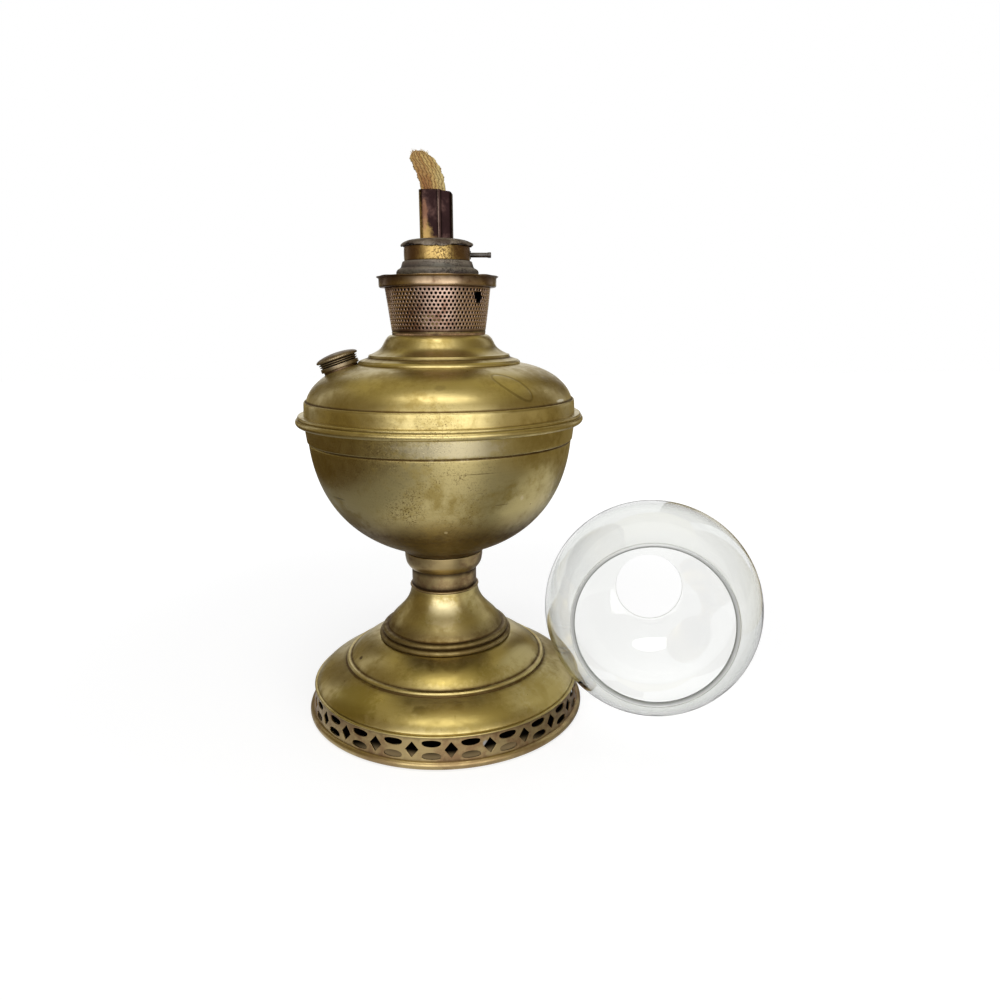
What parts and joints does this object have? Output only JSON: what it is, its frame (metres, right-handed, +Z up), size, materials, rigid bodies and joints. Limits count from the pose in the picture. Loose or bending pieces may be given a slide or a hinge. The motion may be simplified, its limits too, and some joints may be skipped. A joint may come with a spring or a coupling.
{
  "type": "parlor oil lamp",
  "caption": "Brass parlor oil lamp with a pierced foot, waisted stem, round font with side filler, flat wick burner with perforated basket, and a loose round glass globe.",
  "frame": {"origin": "centre of the foot's underside, on the table", "axes": "+Z up along the lamp's axis, -Y towards the picture's viewer, filler on the -X side, wick spindle and globe on the +X side"},
  "size_m": [0.304, 0.188, 0.3586],
  "materials": {
    "brass": "aged satin brass with an olive brown patina",
    "dark_brass": "brown tarnished brass",
    "copper_brass": "coppery brown tarnish",
    "oxide_brass": "dull grey brown heat oxide",
    "bright_brass": "bright mottled brass",
    "steel": "dull grey steel",
    "cork": "oil-stained cork",
    "wick_cotton": "woven cotton, tan with scorched streaks",
    "clear_glass": "clear blown glass"
  },
  "bodies": {
    "lamp": {"foot_ring": "brass", "base_dome": "brass", "stem": "brass", "stem_cup": "brass", "tie_rod": "steel", "tie_washer": "steel", "tie_nut": "steel", "font_bowl": "brass", "seam_ring": "brass", "font_top": "brass", "font_collar": "brass", "filler_neck": "dark_brass"},
    "washer": {"collar_washer": "cork"},
    "burner": {"burner_floor": "dark_brass", "draft_basket": "copper_brass", "gallery_rim": "dark_brass", "air_plate": "copper_brass", "burner_skirt": "oxide_brass", "burner_drum": "bright_brass", "burner_crown": "oxide_brass", "wick_tube": "oxide_brass", "spindle_bushes": "steel"},
    "spindle": {"wick_spindle": "steel", "wick_wheels": "steel"},
    "wick": {"wick": "wick_cotton"},
    "gasket": {"filler_gasket": "cork"},
    "cap": {"filler_cap": "brass"},
    "globe": {"glass_globe": "clear_glass"}
  },
  "joints": [
    {"name": "burner_lift", "type": "slide", "parent": "lamp", "child": "washer", "axis": [0, 0, 1], "range_m": [0, 0.0072]},
    {"name": "burner_turn", "type": "hinge", "parent": "washer", "child": "burner", "pos_m": [0, 0, 0.2517], "axis": [0, 0, 1], "range_deg": [0, 1350]},
    {"name": "wick_turn", "type": "hinge", "parent": "burner", "child": "spindle", "pos_m": [0, 0.0063, 0.2992], "axis": [1, 0, 0], "range_deg": [0, 306]},
    {"name": "wick_raise", "type": "slide", "parent": "burner", "child": "wick", "axis": [0, 0, 1], "range_m": [-0.024, 0], "deforming": ["wick"]},
    {"name": "cap_lift", "type": "slide", "parent": "lamp", "child": "gasket", "axis": [-0.319, 0, 0.9477], "range_m": [0, 0.0036]},
    {"name": "cap_turn", "type": "hinge", "parent": "gasket", "child": "cap", "pos_m": [-0.0625, 0, 0.23001], "axis": [-0.319, 0, 0.9477], "range_deg": [0, 810]},
    {"name": "globe_lift", "type": "slide", "parent": "lamp", "child": "globe", "axis": [0.8079, -0.1352, 0.5736], "range_m": [0, 0.2]}
  ],
  "couplings": [
    {"joint": "burner_lift", "follows": "burner_turn", "m_per_rad": 0.00028648},
    {"joint": "wick_turn", "follows": "wick_raise", "rad_per_m": -222.22},
    {"joint": "cap_lift", "follows": "cap_turn", "m_per_rad": 0.00023873}
  ]
}
